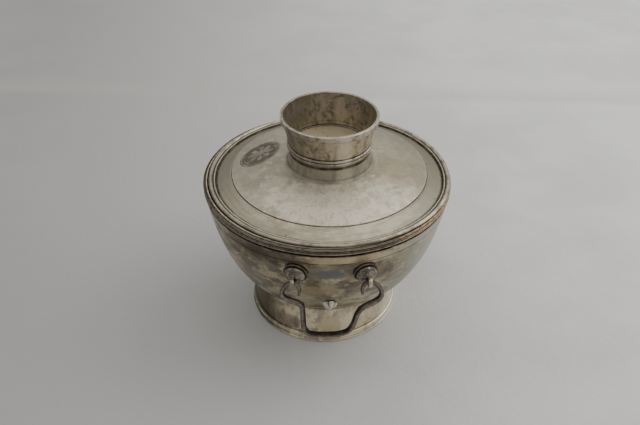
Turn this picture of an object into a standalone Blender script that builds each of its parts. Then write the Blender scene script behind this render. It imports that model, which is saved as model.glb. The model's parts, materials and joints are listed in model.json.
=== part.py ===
"""A covered, footed metal bowl with a ring-collared lid and two drop handles.

The bowl is raised from sheet and stands on a soldered foot ring. Its mouth carries a reeded moulding.
The lid lies loose on the mouth, centred by a seat ring, and is lifted off by its open collar.
Each bail hangs in two split-pin eyes, whose legs pass through a boss, a washer and the bowl wall.

The origin is the middle of the foot's underside, +Z is up, and the two bails are at -Y and +Y.
Sizes below are in millimetres and become metres where a mesh is made.
"""

import math

import bmesh
import bpy
from mathutils import Matrix, Vector

MM = 0.001
GAP = 0.3  # left between soldered or resting pieces
RING_STEPS = 40
SMALL_STEPS = 16

# Bowl: the outer wall is one Bezier curve, from under the rim moulding to the middle of the bottom.
SHEET = 1.2
RIM_Z = 103.4
RIM_RADIUS = 80.1
MOUTH_RADIUS = 78.4
WALL_TOP = (79.6, 98.2)
WALL_HANDLES = ((74.8, 75.0), (70.6, 13.9))
BOWL_BOTTOM_Z = 13.9

# Moulding round the mouth: a thin band with half-round reeds
REED_COUNT = 2
REED_BAND = 0.6

# Foot
FOOT_SHIFT = -1.5  # the foot is soldered this far off the bowl's axis
FOOT_RADIUS = 51.6
FOOT_MOULDING_HEIGHT = 5.6
FOOT_MOULDING_EDGE = 2.4
FOOT_WALL_BASE_RADIUS = 49.2
FOOT_WALL_TOP_RADIUS = 46.4

# Lid
LID_SHIFT = 1.5  # the loose lid lies this far off centre, against one side of the mouth
LID_SHEET = 0.9
CROWN_Z = 125.0
CROWN_RADIUS = 25.8
NECK_FOOT = (28.4, 113.6)
STEP = (62.8, 107.5)
STEP_HEIGHT = 0.7
FLANGE_EDGE = (73.6, 102.5)
LIP_TOP = (74.0, 104.3)
BEAD_INNER_RADIUS = 75.2
BEAD_OUTER_RADIUS = 78.1
BEAD_HEIGHT = 1.4
SEAT_RING_RADIUS = 75.4
SEAT_RING_Z = (96.2, 101.0)

# Collar on the lid
COLLAR_BASE_RADIUS = 25.7
COLLAR_TOP_RADIUS = 29.8
COLLAR_TOP_Z = 146.6
COLLAR_BEAD_RADIUS = 27.0
COLLAR_BEAD_Z = (124.6, 128.2)
COLLAR_BAND_RADIUS = 30.8
COLLAR_BAND_Z = (142.8, 146.6)

# Handles: the bosses sit on the wall, and their eyes carry the hinge line of the bail.
BOSS_Z = 82.5
EYE_X = 22.6
HINGE_Y = 82.0
WASHER_RADIUS = 7.5
WASHER_THICKNESS = 1.0
BOSS_RADIUS = 6.4
BOSS_HEIGHT = 4.0
EYE_WIRE = 0.8
EYE_HOLE = 1.65
LEG_OFFSET = 0.95
LEG_SPREAD = 7.0
LEG_BEND = 1.2
INNER_STANDOFF = 0.6  # from the bowl's inside to the split legs and rivet heads
SLOT_CLEARANCE = 0.35

# The bail is bent by hand from one wire, so its two sides differ a little. Each point is (x, z) from
# the middle of the hinge line: first the tail that hooks down inside the eye, then the straight
# stretch through the eye, the shoulder, the elbow, and half of the bottom bar.
BAIL_LEFT = [
    (-18.9, -8.8), (-18.3, -6.0), (-18.6, -3.0), (-19.9, -0.7), (-21.5, 0.0), (-23.9, 0.0), (-26.2, -1.4),
    (-27.9, -4.2), (-28.6, -7.4), (-27.2, -10.6), (-23.8, -13.2), (-19.6, -15.2), (-17.2, -17.9),
    (-16.7, -23.0), (-16.5, -30.0), (-15.9, -36.4), (-13.4, -40.2), (-9.0, -41.6), (-3.0, -41.9),
]
BAIL_RIGHT = [
    (18.7, -8.8), (18.2, -6.0), (18.6, -3.0), (19.9, -0.7), (21.5, 0.0), (23.9, 0.0), (26.4, -1.4),
    (28.7, -4.4), (29.8, -8.0), (29.0, -11.8), (25.8, -15.1), (21.4, -17.9), (17.8, -21.0),
    (15.7, -25.6), (14.4, -30.8), (12.9, -35.6), (10.0, -39.4), (4.0, -41.6),
]
BAIL_RADII = ((0.0, 0.8), (4.0, 1.15), (13.0, 1.22), (20.0, 1.5), (32.0, 1.75))  # (distance from the tip, wire radius)

# Flower-headed stud under each bail
STUD_Z = 50.0
STUD_RADIUS = 4.2
STUD_HEIGHT = 4.2
STUD_SHANK = 1.3
STUD_INNER_HEAD = (2.5, 0.9)
STUD_PETALS = 5
PETAL_DEPTH = 0.12

SILVER = (0.52, 0.50, 0.44)
GOLDEN = (0.48, 0.42, 0.29)
TARNISHED = (0.27, 0.24, 0.20)
DARK = (0.17, 0.15, 0.14)


# ---------------------------------------------------------------- building helpers

def metal(name, color, roughness=0.4):
    material = bpy.data.materials.new(name)
    material.use_nodes = True
    shader = material.node_tree.nodes["Principled BSDF"]
    shader.inputs["Base Color"].default_value = (*color, 1.0)
    shader.inputs["Metallic"].default_value = 1.0
    shader.inputs["Roughness"].default_value = roughness
    return material


def new_collection(name, hidden=False):
    collection = bpy.data.collections.new(name)
    collection.hide_render = hidden
    bpy.context.scene.collection.children.link(collection)
    return collection


def add_object(name, data, collection, parent=None, frame=Matrix.Identity(4)):
    obj = bpy.data.objects.new(name, data)
    collection.objects.link(obj)
    obj.parent = parent
    obj.matrix_local = frame
    return obj


def arc(center, radii, start, end, count):
    """Points along an ellipse's arc, from the angle start to the angle end in degrees."""
    angles = [math.radians(start + (end - start) * i / count) for i in range(count + 1)]
    return [(center[0] + radii[0] * math.cos(a), center[1] + radii[1] * math.sin(a)) for a in angles]


def bezier(p0, p1, p2, p3, count):
    points = []
    for i in range(count + 1):
        t = i / count
        weights = ((1 - t) ** 3, 3 * t * (1 - t) ** 2, 3 * t * t * (1 - t), t ** 3)
        pairs = list(zip(weights, (p0, p1, p2, p3)))
        points.append(tuple(sum(weight * p[axis] for weight, p in pairs) for axis in (0, 1)))
    return points


def interpolate(table, x):
    """The value at x of straight lines through a table's (x, value) pairs, held flat past its ends."""
    if x <= table[0][0]:
        return table[0][1]
    for (x0, y0), (x1, y1) in zip(table, table[1:]):
        if x <= x1:
            return y0 + (y1 - y0) * (x - x0) / (x1 - x0)
    return table[-1][1]


def smooth_path(points, per_span):
    """Points on a Catmull-Rom curve through the given ones."""
    ends = [Vector(p) for p in points]
    ends = [2 * ends[0] - ends[1], *ends, 2 * ends[-1] - ends[-2]]
    path = []
    for a, b, c, d in zip(ends, ends[1:], ends[2:], ends[3:]):
        for i in range(per_span):
            t = i / per_span
            square = 2 * a - 5 * b + 4 * c - d
            cube = 3 * b - a - 3 * c + d
            path.append(0.5 * (2 * b + (c - a) * t + square * t ** 2 + cube * t ** 3))
    return [*path, ends[-2]]


def turned(name, profile, color, collection, parent=None, frame=Matrix.Identity(4),
           steps=RING_STEPS, closed=True, sheet=None):
    """A profile of (radius, height) turned round Z. A thickness makes an open one into sheet, inwards."""
    count = len(profile)
    edges = [(i, (i + 1) % count) for i in range(count if closed else count - 1)]
    mesh = bpy.data.meshes.new(name)
    mesh.from_pydata([(radius * MM, 0.0, z * MM) for radius, z in profile], edges, [])
    mesh.materials.append(metal(name + "_metal", color))
    obj = add_object(name, mesh, collection, parent, frame)
    screw = obj.modifiers.new("turn", "SCREW")
    screw.axis = "Z"
    screw.steps = screw.render_steps = steps
    screw.use_merge_vertices = True
    screw.merge_threshold = 0.01 * MM
    screw.use_smooth_shade = True
    if sheet:
        shell = obj.modifiers.new("sheet", "SOLIDIFY")
        shell.thickness = sheet * MM
        shell.offset = -1.0
        shell.use_even_offset = True
    return obj


def wire(name, points, radii, color, collection, parent=None, frame=Matrix.Identity(4)):
    """A round wire through the points, in millimetres, with a radius at each of them."""
    curve = bpy.data.curves.new(name, "CURVE")
    curve.dimensions = "3D"
    curve.bevel_depth = MM
    curve.bevel_resolution = 2
    curve.use_fill_caps = True
    spline = curve.splines.new("POLY")
    spline.points.add(len(points) - 1)
    for spot, point, radius in zip(spline.points, points, radii):
        spot.co = (*(Vector(point) * MM), 1.0)
        spot.radius = radius
    curve.materials.append(metal(name + "_metal", color))
    return add_object(name, curve, collection, parent, frame)


def cut(obj, cutter):
    boolean = obj.modifiers.new("hole for " + cutter.name, "BOOLEAN")
    boolean.operation = "DIFFERENCE"
    boolean.object = cutter


def hide_cutter(cutter):
    cutter.hide_render = True
    cutter.display_type = "WIRE"
    return cutter


def box_cutter(name, size, middle, frame, collection):
    mesh = bpy.data.meshes.new(name)
    shape = bmesh.new()
    place = Matrix.Translation(Vector(middle) * MM) @ Matrix.Diagonal((*(Vector(size) * MM), 1.0))
    bmesh.ops.create_cube(shape, size=1.0, matrix=place)
    shape.to_mesh(mesh)
    shape.free()
    return hide_cutter(add_object(name, mesh, collection, None, frame))


# ---------------------------------------------------------------- bowl and foot

WALL = bezier(WALL_TOP, *WALL_HANDLES, (0.0, BOWL_BOTTOM_Z), 64)


def wall_radius(z):
    """The bowl's outer radius at a height."""
    return interpolate([(height, radius) for radius, height in reversed(WALL)], z)


def wall_height(radius):
    """The height of the bowl's outer wall at a radius."""
    return interpolate(list(reversed(WALL)), radius)


def wall_tilt(z):
    """How far the wall leans out from upright at a height, which is how far its normal points down."""
    return math.atan2(wall_radius(z + 1) - wall_radius(z - 1), 2)


def wall_frame(azimuth, z):
    """The frame of a fitting on the wall: +Z out of it and +Y up along it. Azimuth 0 is at -Y."""
    tilt = wall_tilt(z)
    outward = Vector((math.sin(azimuth), -math.cos(azimuth), 0.0))
    upward = Vector((0.0, 0.0, 1.0))
    normal = outward * math.cos(tilt) - upward * math.sin(tilt)
    along = outward * math.sin(tilt) + upward * math.cos(tilt)
    turn = Matrix((along.cross(normal), along, normal)).transposed().to_4x4()
    spot = outward * wall_radius(z) + upward * z
    return Matrix.Translation(spot * MM) @ turn


def make_bowl(parts):
    mouth = [(MOUTH_RADIUS, RIM_Z), (MOUTH_RADIUS, WALL_TOP[1] + GAP)]
    wall = bezier(WALL_TOP, *WALL_HANDLES, (0.0, BOWL_BOTTOM_Z), 10)
    return turned("bowl_shell", mouth + wall, TARNISHED, parts, closed=False, sheet=SHEET)


def make_rim_moulding(parts):
    inner = MOUTH_RADIUS + GAP
    bottom = WALL_TOP[1] + 2 * GAP
    pitch = (RIM_Z - bottom) / REED_COUNT
    size = (RIM_RADIUS - inner - REED_BAND, pitch * 0.48)
    profile = [(inner, RIM_Z)]
    for i in range(REED_COUNT):
        profile += arc((inner + REED_BAND, RIM_Z - pitch * (i + 0.5)), size, 90, -90, 3)
    turned("rim_moulding", [*profile, (inner, bottom)], DARK, parts)


def grown(profile, distance):
    """A profile moved outwards, each point along the normal between its neighbours."""
    moved = []
    for before, point, after in zip(profile[:1] + profile, profile, profile[1:] + profile[-1:]):
        step = Vector(after) - Vector(before)
        moved.append(tuple(Vector(point) + distance * Vector((-step.y, step.x)).normalized()))
    return moved


def make_foot(parts, foot, cutters):
    """The foot wall runs up into the bowl, whose outer shape then cuts it to fit."""
    base = FOOT_MOULDING_HEIGHT + GAP
    top = wall_height(FOOT_WALL_TOP_RADIUS) + 4
    profile = bezier((FOOT_WALL_TOP_RADIUS, top), (FOOT_WALL_TOP_RADIUS - 0.3, top - 12),
                     (FOOT_WALL_BASE_RADIUS - 0.2, base + 6), (FOOT_WALL_BASE_RADIUS, base), 3)
    wall = turned("foot_ring", profile, GOLDEN, parts, foot, closed=False, sheet=SHEET)
    outer = grown(bezier(WALL_TOP, *WALL_HANDLES, (0.0, BOWL_BOTTOM_Z), 10), GAP)
    outer = [(0.0, outer[0][1]), *outer[:-1], (0.0, outer[-1][1])]
    cut(wall, hide_cutter(turned("bowl_seat", outer, GOLDEN, cutters, closed=False)))

    inner = FOOT_WALL_BASE_RADIUS - 2.2
    shoulder = FOOT_WALL_BASE_RADIUS + 0.3
    size = (FOOT_RADIUS - shoulder, FOOT_MOULDING_HEIGHT - FOOT_MOULDING_EDGE)
    rounding = arc((shoulder, FOOT_MOULDING_EDGE), size, 90, 0, 3)
    underside = [(FOOT_RADIUS, 0.5), (FOOT_RADIUS - 0.5, 0.0), (inner, 0.0), (inner, FOOT_MOULDING_HEIGHT)]
    turned("foot_base_moulding", rounding + underside, SILVER, parts, foot)


# ---------------------------------------------------------------- lid and collar

def make_lid(parts, lid):
    crown = [(0.0, CROWN_Z), (CROWN_RADIUS - 0.8, CROWN_Z)]
    neck = bezier((CROWN_RADIUS, CROWN_Z - 0.8), (CROWN_RADIUS, 118.0), (25.9, 113.9), NECK_FOOT, 4)
    dome = bezier(NECK_FOOT, (40.0, 112.5), (53.0, 110.8), STEP, 4)
    flange = [(STEP[0] + 0.4, STEP[1] - STEP_HEIGHT), FLANGE_EDGE, LIP_TOP]
    turned("lid_plate", crown + neck + dome[1:] + flange, SILVER, parts, lid, closed=False, sheet=LID_SHEET)

    bottom = RIM_Z + GAP
    middle = (BEAD_INNER_RADIUS + BEAD_OUTER_RADIUS) / 2
    size = (BEAD_OUTER_RADIUS - middle, BEAD_HEIGHT)
    turned("lid_lip_bead", arc((middle, bottom), size, 180, 0, 5), SILVER, parts, lid)

    low, high = SEAT_RING_Z
    inner = SEAT_RING_RADIUS - LID_SHEET
    ring = [(inner, high), (SEAT_RING_RADIUS, high), (SEAT_RING_RADIUS, low), (inner, low)]
    turned("lid_seat_ring", ring, TARNISHED, parts, lid)


def make_collar(parts, lid):
    wall = bezier((COLLAR_TOP_RADIUS, COLLAR_TOP_Z), (29.2, 140.6), (26.6, 134.0),
                  (COLLAR_BASE_RADIUS, CROWN_Z + GAP), 3)
    turned("collar_wall", wall, TARNISHED, parts, lid, closed=False, sheet=LID_SHEET)

    low, high = COLLAR_BEAD_Z
    inner = COLLAR_BASE_RADIUS + 2 * GAP
    size = (COLLAR_BEAD_RADIUS - inner, (high - low) / 2)
    bead = arc((inner, (low + high) / 2), size, 90, -90, 4)
    turned("collar_foot_bead", bead, TARNISHED, parts, lid)

    low, high = COLLAR_BAND_Z
    inner = COLLAR_TOP_RADIUS + GAP
    top = arc((COLLAR_BAND_RADIUS - 0.5, high - 0.5), (0.5, 0.5), 90, 0, 2)
    band = [(inner, high), *top, (COLLAR_BAND_RADIUS - 0.2, low), (inner, low)]
    turned("collar_lip_band", band, SILVER, parts, lid)


# ---------------------------------------------------------------- handles

EYE_REACH = (math.hypot(EYE_X, HINGE_Y) - wall_radius(BOSS_Z)) / math.cos(wall_tilt(BOSS_Z))
HINGE_Z = BOSS_Z - EYE_REACH * math.sin(wall_tilt(BOSS_Z))


def eye_path(side, frame):
    """One wire: down a leg inside the bowl, out through the wall, round the eye, and back likewise."""
    inside = -(SHEET + INNER_STANDOFF + EYE_WIRE)
    leg = [(LEG_OFFSET + LEG_SPREAD, inside), (LEG_OFFSET + LEG_BEND, inside),
           (LEG_OFFSET + 0.3 * LEG_BEND, inside + 0.3 * LEG_BEND), (LEG_OFFSET, inside + LEG_BEND),
           (LEG_OFFSET, EYE_REACH - 4.6)]
    upper = [frame @ Vector((0.0, height * MM, reach * MM)) / MM for height, reach in leg]
    lower = [frame @ Vector((0.0, -height * MM, reach * MM)) / MM for height, reach in reversed(leg)]

    tilt = wall_tilt(BOSS_Z)
    middle = Vector((side * EYE_X, -HINGE_Y, HINGE_Z))
    out = Vector((0.0, -math.cos(tilt), -math.sin(tilt)))
    up = Vector((0.0, -math.sin(tilt), math.cos(tilt)))
    loop = [middle + out * x + up * y for x, y in arc((0, 0), [EYE_HOLE + EYE_WIRE] * 2, 140, -140, 8)]
    return upper + loop + lower


def make_boss(name, side, handle, parts, cutters, bowl, turn):
    """A washer and a domed boss on the wall, and the split-pin eye through them."""
    frame = wall_frame(math.atan2(side * EYE_X, HINGE_Y), BOSS_Z)
    seat = GAP + WASHER_THICKNESS + GAP
    slot = box_cutter(name + "_slot", (2 * (EYE_WIRE + SLOT_CLEARANCE),
                                       2 * (LEG_OFFSET + EYE_WIRE + SLOT_CLEARANCE), 16.0),
                      (0.0, 0.0, 4.0), turn @ frame, cutters)
    disc = [(0.0, seat - GAP), (WASHER_RADIUS - 0.4, seat - GAP), (WASHER_RADIUS, seat - GAP - 0.4),
            (WASHER_RADIUS, GAP), (0.0, GAP)]
    washer = turned(name + "_washer", disc, TARNISHED, parts, handle, frame, SMALL_STEPS, closed=False)
    dome = [*arc((0.0, seat), (BOSS_RADIUS, BOSS_HEIGHT), 90, 0, 4), (0.0, seat)]
    boss = turned(name + "_boss", dome, DARK, parts, handle, frame, SMALL_STEPS, closed=False)
    for obj in (bowl, washer, boss):
        cut(obj, slot)
    path = eye_path(side, frame)
    radii = [0.6, *[EYE_WIRE] * (len(path) - 2), 0.6]
    wire(name + "_split_eye", path, radii, DARK, parts, handle)


def make_bail(name, handle, parts):
    route = smooth_path([(x, 0.0, z) for x, z in BAIL_LEFT + BAIL_RIGHT[::-1]], 1)
    travelled = [0.0]
    for a, b in zip(route, route[1:]):
        travelled.append(travelled[-1] + (b - a).length)
    radii = [interpolate(BAIL_RADII, min(s, travelled[-1] - s)) for s in travelled]
    hinge = Matrix.Translation(Vector((0.0, -HINGE_Y, HINGE_Z)) * MM)
    wire(name, route, radii, DARK, parts, handle, hinge)


def make_stud(name, handle, parts, cutters, bowl, turn):
    """A rivet with a domed head of round petals outside and a flat head inside the bowl."""
    inside = -(SHEET + INNER_STANDOFF)
    inner_radius, inner_height = STUD_INNER_HEAD
    profile = [*arc((0.0, GAP), (STUD_RADIUS, STUD_HEIGHT), 90, 0, 3), (STUD_SHANK, GAP), (STUD_SHANK, inside),
               (inner_radius, inside), (inner_radius, inside - inner_height), (0.0, inside - inner_height)]
    shape = bmesh.new()
    spots = [shape.verts.new((radius * MM, 0.0, z * MM)) for radius, z in profile]
    edges = [shape.edges.new(pair) for pair in zip(spots, spots[1:])]
    bmesh.ops.spin(shape, geom=spots + edges, axis=(0, 0, 1), angle=2 * math.pi,
                   steps=4 * STUD_PETALS, use_merge=True)
    bmesh.ops.remove_doubles(shape, verts=shape.verts, dist=0.01 * MM)
    bmesh.ops.recalc_face_normals(shape, faces=shape.faces)
    for vertex in shape.verts:
        if vertex.co.z > 0 and vertex.co.xy.length > 1.1 * STUD_SHANK * MM:
            angle = math.atan2(vertex.co.y, vertex.co.x)
            vertex.co.xy *= 1 + PETAL_DEPTH * math.cos(STUD_PETALS * angle)
    mesh = bpy.data.meshes.new(name)
    shape.to_mesh(mesh)
    shape.free()
    mesh.materials.append(metal(name + "_metal", SILVER))
    frame = wall_frame(0.0, STUD_Z)
    add_object(name, mesh, parts, handle, frame)

    radius = STUD_SHANK + SLOT_CLEARANCE
    drill = turned(name + "_drill", [(0.0, 4.0), (radius, 4.0), (radius, -4.0), (0.0, -4.0)], SILVER, cutters,
                   None, turn @ frame, 12, closed=False)
    cut(bowl, hide_cutter(drill))


def make_handle(place, quarter_turns, parts, cutters, bowl):
    """A bail with its two bosses and its stud. The rear one is the front one turned half round."""
    turn = Matrix.Rotation(quarter_turns * math.pi / 2, 4, "Z")
    handle = add_object(place + "_handle", None, parts, None, turn)
    for side in (-1, 1):
        hand = "left" if (side < 0) == (quarter_turns == 0) else "right"
        make_boss(f"{place}_{hand}", side, handle, parts, cutters, bowl, turn)
    make_bail(place + "_bail", handle, parts)
    make_stud(place + "_flower_stud", handle, parts, cutters, bowl, turn)


def main():
    for obj in list(bpy.data.objects):
        bpy.data.objects.remove(obj)
    parts = new_collection("covered_footed_bowl")
    cutters = new_collection("cutters", hidden=True)
    bowl = make_bowl(parts)
    make_rim_moulding(parts)
    foot = add_object("foot", None, parts, None, Matrix.Translation((FOOT_SHIFT * MM, 0.0, 0.0)))
    make_foot(parts, foot, cutters)
    lid = add_object("lid", None, parts, None, Matrix.Translation((LID_SHIFT * MM, 0.0, 0.0)))
    make_lid(parts, lid)
    make_collar(parts, lid)
    for place, quarter_turns in (("front", 0), ("rear", 2)):
        make_handle(place, quarter_turns, parts, cutters, bowl)


main()
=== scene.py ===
"""Looks for the covered, footed bowl: turned and bent pieces of tarnished silver around its CAD frame.

Lengths here are in millimetres and become metres where a mesh is made. +Z is up, and the drop handles,
or bails, are at -Y and +Y.
"""

import json
import math

import bmesh
import bpy
from mathutils import Matrix, Vector, noise


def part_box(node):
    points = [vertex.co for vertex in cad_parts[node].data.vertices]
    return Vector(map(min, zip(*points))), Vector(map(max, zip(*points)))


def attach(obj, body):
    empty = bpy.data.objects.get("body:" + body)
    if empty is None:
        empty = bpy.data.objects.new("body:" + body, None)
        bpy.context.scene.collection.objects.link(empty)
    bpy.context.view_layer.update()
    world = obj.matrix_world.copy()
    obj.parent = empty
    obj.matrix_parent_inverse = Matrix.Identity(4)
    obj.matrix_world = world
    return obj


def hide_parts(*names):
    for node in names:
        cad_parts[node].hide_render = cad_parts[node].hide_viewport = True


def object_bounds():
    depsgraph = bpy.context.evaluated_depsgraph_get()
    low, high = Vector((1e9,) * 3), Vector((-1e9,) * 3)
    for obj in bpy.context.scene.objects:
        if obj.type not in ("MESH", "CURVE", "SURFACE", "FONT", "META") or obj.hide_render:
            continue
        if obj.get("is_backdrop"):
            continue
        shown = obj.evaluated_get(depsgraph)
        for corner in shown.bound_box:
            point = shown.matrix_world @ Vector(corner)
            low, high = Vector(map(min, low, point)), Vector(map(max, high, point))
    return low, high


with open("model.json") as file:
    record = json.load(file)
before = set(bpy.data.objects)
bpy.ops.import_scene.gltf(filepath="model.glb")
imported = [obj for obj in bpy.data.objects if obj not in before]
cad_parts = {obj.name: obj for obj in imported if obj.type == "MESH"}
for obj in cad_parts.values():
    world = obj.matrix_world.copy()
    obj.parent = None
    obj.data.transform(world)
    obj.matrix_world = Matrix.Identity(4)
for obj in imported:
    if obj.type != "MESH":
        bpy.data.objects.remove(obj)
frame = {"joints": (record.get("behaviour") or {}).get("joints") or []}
CAD_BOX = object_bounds()

MM = 0.001
TURN_STEPS = 288  # round a large turned piece
SMALL_STEPS = 64  # round a small one
FINEST, LONGEST = 0.22, 2.2  # the shortest and longest steps along a turned profile
ON_AXIS = 1e-6  # a radius below this is a point on the axis
SHARP, WIRE_SHARP, STUD_SHARP = 32.0, 50.0, 60.0  # the angles in degrees from which an edge isn't smoothed


def span(node):
    """A CAD node's lowest and highest corner in millimetres."""
    low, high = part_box(node)
    return low / MM, high / MM


def middle_x(node):
    low, high = span(node)
    return (low.x + high.x) / 2


def radius_of(node):
    low, high = span(node)
    return (high.x - low.x) / 2


# ---- sizes, read from the frame

RIM_Z = span("bowl_shell")[1].z
BOWL_BOTTOM_Z = span("bowl_shell")[0].z
RIM_RADIUS = radius_of("rim_moulding")
RIM_LOW_Z = span("rim_moulding")[0].z
FOOT_X = middle_x("foot_base_moulding")
FOOT_RADIUS = radius_of("foot_base_moulding")
FOOT_MOULDING_Z = span("foot_base_moulding")[1].z
LID_X = middle_x("lid_lip_bead")
BEAD_RADIUS = radius_of("lid_lip_bead")
BEAD_LOW_Z, BEAD_HIGH_Z = (corner.z for corner in span("lid_lip_bead"))
SEAT_RADIUS = radius_of("lid_seat_ring")
SEAT_Z = tuple(corner.z for corner in span("lid_seat_ring"))
COLLAR_TOP_Z = span("collar_wall")[1].z
COLLAR_LOW_Z = span("collar_wall")[0].z
COLLAR_TOP_RADIUS = radius_of("collar_wall")
COLLAR_BAND_RADIUS = radius_of("collar_lip_band")
COLLAR_BAND_LOW_Z = span("collar_lip_band")[0].z
COLLAR_BEAD_RADIUS = radius_of("collar_foot_bead")
COLLAR_BEAD_Z = tuple(corner.z for corner in span("collar_foot_bead"))
HINGE = next(Vector(joint["pos_m"]) / MM for joint in frame["joints"] if joint["child"] == "front_handle")
HINGE_Y = -HINGE.y

# The same curves as the CAD's, through the frame's heights and radii
SHEET = 1.2
LID_SHEET = 0.9
MOUTH_RADIUS = 78.4
WALL_TOP = (79.6, 98.2)
WALL_HANDLES = ((74.8, 75.0), (70.6, BOWL_BOTTOM_Z))
FOOT_TOP_RADIUS = 46.4
FOOT_BASE_RADIUS = 49.2
CROWN_Z = COLLAR_LOW_Z - 0.3
CROWN_RADIUS = 25.8
NECK_FOOT = (28.4, 113.6)
STEP = (62.8, 107.5)
STEP_HEIGHT = 0.7
FLANGE_EDGE = (73.6, 102.5)
LIP_TOP = (74.0, BEAD_HIGH_Z - 0.85)
COLLAR_BASE_RADIUS = 25.7
BOSS_Z = 82.5
EYE_X = 22.6
WASHER_RADIUS = 7.5
BOSS_RADIUS = 6.4
BOSS_HEIGHT = 4.0
BOSS_BASE = 1.35  # the washer's top, where the boss starts
EYE_WIRE = 0.8
EYE_HOLE = 1.65
EYE_STRIP = 1.5  # how much wider than the round wire the eye's strip is
LEG_OFFSET = 0.95
LEG_SPREAD = 7.0
INNER_STANDOFF = 0.6  # from the bowl's inside to the legs and the rivet heads
STUD_Z = 50.0
STUD_RADIUS = 4.2
STUD_HEIGHT = 4.2
STUD_PETALS = 5
STUD_SHANK = 1.3
INCISED_Z = 91.2  # the line cut round the bowl
LIP_ROUND = 0.3  # how far the mouth's edge is rounded
BEAD_WIDTH = 2.9  # of the lid's edge bead

# The bail's wire, as (x, z) from the middle of the hinge line, and its radius against the length from a tip
BAIL_LEFT = [
    (-18.9, -8.8), (-18.3, -6.0), (-18.6, -3.0), (-19.9, -0.7), (-21.5, 0.0), (-23.9, 0.0), (-26.2, -1.4),
    (-27.9, -4.2), (-28.6, -7.4), (-27.2, -10.6), (-23.8, -13.2), (-19.6, -15.2), (-17.2, -17.9),
    (-16.7, -23.0), (-16.5, -30.0), (-15.9, -36.4), (-13.4, -40.2), (-9.0, -41.6), (-3.0, -41.9),
]
BAIL_RIGHT = [
    (18.7, -8.8), (18.2, -6.0), (18.6, -3.0), (19.9, -0.7), (21.5, 0.0), (23.9, 0.0), (26.4, -1.4),
    (28.7, -4.4), (29.8, -8.0), (29.0, -11.8), (25.8, -15.1), (21.4, -17.9), (17.8, -21.0),
    (15.7, -25.6), (14.4, -30.8), (12.9, -35.6), (10.0, -39.4), (4.0, -41.6),
]
BAIL_RADII = ((0.0, 0.8), (4.0, 1.15), (13.0, 1.22), (20.0, 1.5), (32.0, 1.75))


# ---- camera

CAMERA_TARGET = Vector((-4.5, 0.0, 71.3))
CAMERA_DISTANCE = 475.0
CAMERA_PITCH = math.radians(36.1)
CAMERA_AZIMUTH = math.radians(-1.3)
CAMERA_LENS = 39.375


def make_camera():
    data = bpy.data.cameras.new("camera")
    data.lens = CAMERA_LENS
    data.sensor_width = 36.0
    data.clip_start = 0.01
    camera = bpy.data.objects.new("camera", data)
    forward = Vector((0.0, math.cos(CAMERA_PITCH), -math.sin(CAMERA_PITCH)))
    turn = Matrix.Rotation(CAMERA_AZIMUTH, 3, "Z")
    camera.location = turn @ (CAMERA_TARGET - forward * CAMERA_DISTANCE) * MM
    camera.rotation_euler = (math.pi / 2 - CAMERA_PITCH, 0.0, CAMERA_AZIMUTH)
    bpy.context.scene.collection.objects.link(camera)
    bpy.context.scene.camera = camera


# ---- outlines

def arc(center, radii, start, end, count):
    """Points along an ellipse's arc, from the angle start to the angle end in degrees."""
    angles = [math.radians(start + (end - start) * i / count) for i in range(count + 1)]
    return [(center[0] + radii[0] * math.cos(a), center[1] + radii[1] * math.sin(a)) for a in angles]


def bezier(p0, p1, p2, p3, count=48):
    points = []
    for i in range(count + 1):
        t = i / count
        weights = ((1 - t) ** 3, 3 * t * (1 - t) ** 2, 3 * t * t * (1 - t), t ** 3)
        pairs = list(zip(weights, (p0, p1, p2, p3)))
        points.append(tuple(sum(weight * p[axis] for weight, p in pairs) for axis in (0, 1)))
    return points


def grown(profile, distance):
    """A profile moved to its left, each point along the normal between its neighbours."""
    moved = []
    for before, point, after in zip(profile[:1] + profile, profile, profile[1:] + profile[-1:]):
        step = Vector(after) - Vector(before)
        moved.append(tuple(Vector(point) + distance * Vector((-step.y, step.x)).normalized()))
    return moved


def interpolate(table, x):
    """The value at x of straight lines through a table's (x, value) pairs, held flat past its ends."""
    if x <= table[0][0]:
        return table[0][1]
    for (x0, y0), (x1, y1) in zip(table, table[1:]):
        if x <= x1:
            return y0 + (y1 - y0) * (x - x0) / (x1 - x0)
    return table[-1][1]


def smooth_path(points, per_span):
    """Points on a Catmull-Rom curve through the given ones."""
    ends = [Vector(p) for p in points]
    ends = [2 * ends[0] - ends[1], *ends, 2 * ends[-1] - ends[-2]]
    path = []
    for a, b, c, d in zip(ends, ends[1:], ends[2:], ends[3:]):
        for i in range(per_span):
            t = i / per_span
            square = 2 * a - 5 * b + 4 * c - d
            cube = 3 * b - a - 3 * c + d
            path.append(0.5 * (2 * b + (c - a) * t + square * t ** 2 + cube * t ** 3))
    return [*path, ends[-2]]


def fall(distance, reach):
    """1 at no distance, easing to 0 at the reach."""
    t = min(max(1 - distance / reach, 0.0), 1.0)
    return t * t * (3 - 2 * t)


def dirt_and_painted_light_at(point, marks):
    """The dirt and painted light at a profile point, from marks of (point, reach, amount). Above 0 is a dirty
    hollow with painted shade, and below 0 is a rubbed edge with a painted highlight."""
    found = [amount * fall((Vector(point) - Vector(spot)).length, reach) for spot, reach, amount in marks]
    return max(found, default=0.0, key=abs)


def with_fine_steps(profile, marks, closed):
    """The profile with points added, closest where a mark needs them."""
    ends = profile[1:] + profile[:1] if closed else profile[1:]
    points = []
    for start, end in zip(profile, ends):
        start, end = Vector(start), Vector(end)
        middle = (start + end) / 2
        near = min([(middle - Vector(spot)).length - reach for spot, reach, _ in marks], default=9.0)
        step = min(max(FINEST, 0.5 * near), LONGEST)
        count = max(1, math.ceil((end - start).length / step))
        points += [tuple(start.lerp(end, i / count)) for i in range(count)]
    return points if closed else [*points, tuple(profile[-1])]


# ---- meshes

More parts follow.
